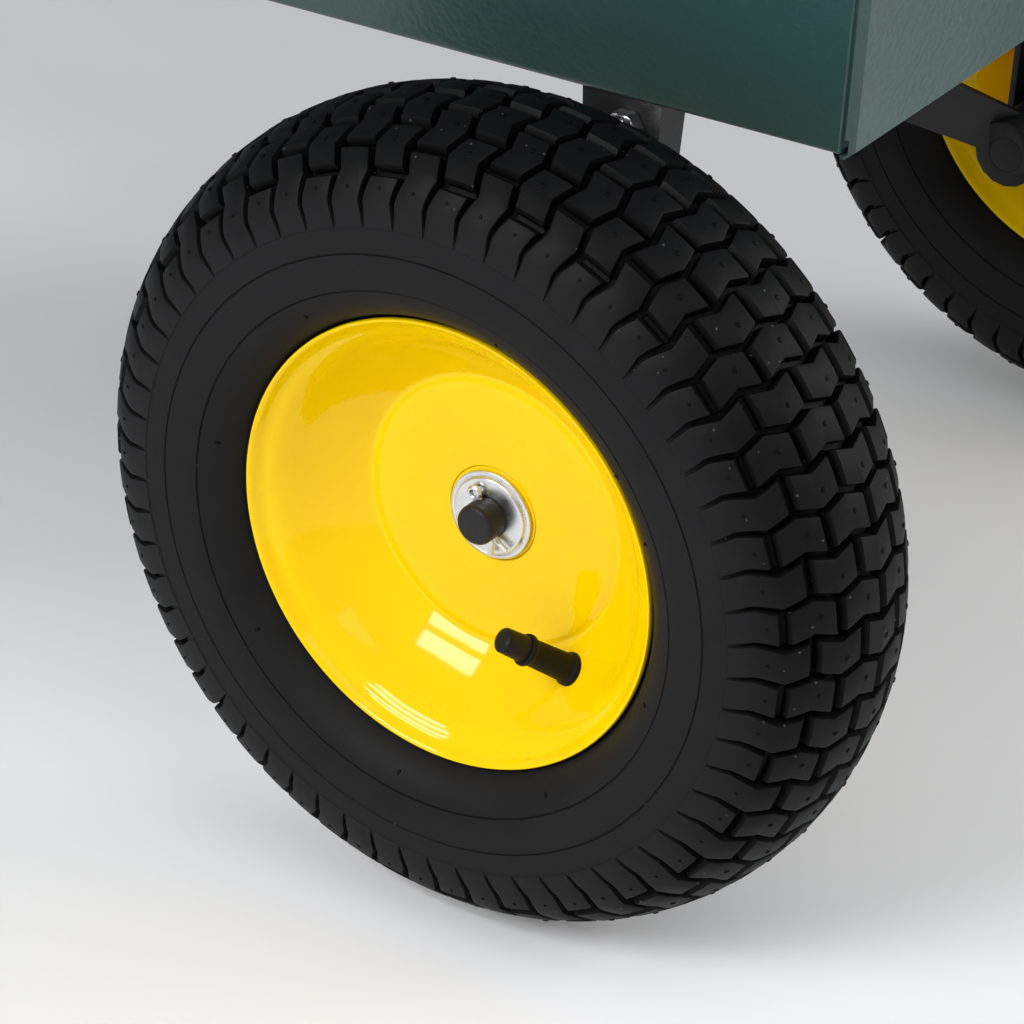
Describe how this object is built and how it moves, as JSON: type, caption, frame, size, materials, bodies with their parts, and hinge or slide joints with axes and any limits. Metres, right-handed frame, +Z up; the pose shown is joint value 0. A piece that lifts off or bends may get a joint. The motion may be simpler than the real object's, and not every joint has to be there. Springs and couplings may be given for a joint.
{
  "type": "garden dump cart",
  "caption": "Towed garden dump cart: a flared sheet-steel tray tips about the axle between turf-tyred wheels, on a square tongue with a pin hitch, swing latch and folding stand.",
  "frame": {"origin": "on the ground under the middle of the cart's length and width", "axes": "+X along the cart towards the rear, where the tray dumps; +Y across it; +Z up"},
  "size_m": [1.3248, 0.627, 0.59],
  "materials": {
    "tray_paint": "dark green powder coat with fine orange peel",
    "frame_paint": "satin black powder coat",
    "rim_paint": "bright yellow gloss paint",
    "tyre": "matte moulded rubber",
    "valve_rubber": "soft black rubber",
    "black_plastic": "moulded black plastic",
    "zinc": "bright zinc plating"
  },
  "bodies": {
    "frame": {"tongue": "frame_paint", "tongue_caps": "black_plastic", "axle_stays": "frame_paint", "stub_axles": "frame_paint", "axle_washers": "zinc", "cotter_pins": "zinc", "hitch_plates": "frame_paint", "stand_bracket": "frame_paint", "pivot_bolts": "zinc", "rest_saddle": "frame_paint", "rest_pads": "valve_rubber", "latch_bracket": "frame_paint"},
    "tray": {"tray_pan": "tray_paint", "front_panel": "tray_paint", "rear_panel": "tray_paint", "panel_bolts": "zinc", "bolster": "frame_paint", "tray_legs": "frame_paint", "leg_bolts": "zinc", "striker": "frame_paint"},
    "wheel_left": {"tyre_left": "tyre", "rim_left": "rim_paint", "wheel_disc_left": "rim_paint", "wheel_hub_left": "rim_paint", "valve_stem_left": "valve_rubber", "valve_cap_left": "black_plastic"},
    "wheel_right": {"tyre_right": "tyre", "rim_right": "rim_paint", "wheel_disc_right": "rim_paint", "wheel_hub_right": "rim_paint", "valve_stem_right": "valve_rubber", "valve_cap_right": "black_plastic"},
    "latch": {"latch_hook": "zinc"},
    "stand": {"stand_leg": "frame_paint", "stand_foot": "frame_paint"}
  },
  "joints": [
    {"name": "wheel_left_spin", "type": "hinge", "parent": "frame", "child": "wheel_left", "pos_m": [0.4676, 0, 0.1651], "axis": [0, 1, 0], "continuous": true},
    {"name": "wheel_right_spin", "type": "hinge", "parent": "frame", "child": "wheel_right", "pos_m": [0.4676, 0, 0.1651], "axis": [0, 1, 0], "continuous": true},
    {"name": "tray_tip", "type": "hinge", "parent": "frame", "child": "tray", "pos_m": [0.4676, 0, 0.1651], "axis": [0, 1, 0], "range_deg": [0, 80]},
    {"name": "latch_swing", "type": "hinge", "parent": "frame", "child": "latch", "pos_m": [-0.3074, 0, 0.312], "axis": [0, 1, 0], "range_deg": [0, 217.2]},
    {"name": "stand_fold", "type": "hinge", "parent": "frame", "child": "stand", "pos_m": [-0.4124, 0, 0.2], "axis": [0, -1, 0], "range_deg": [0, 90]}
  ]
}
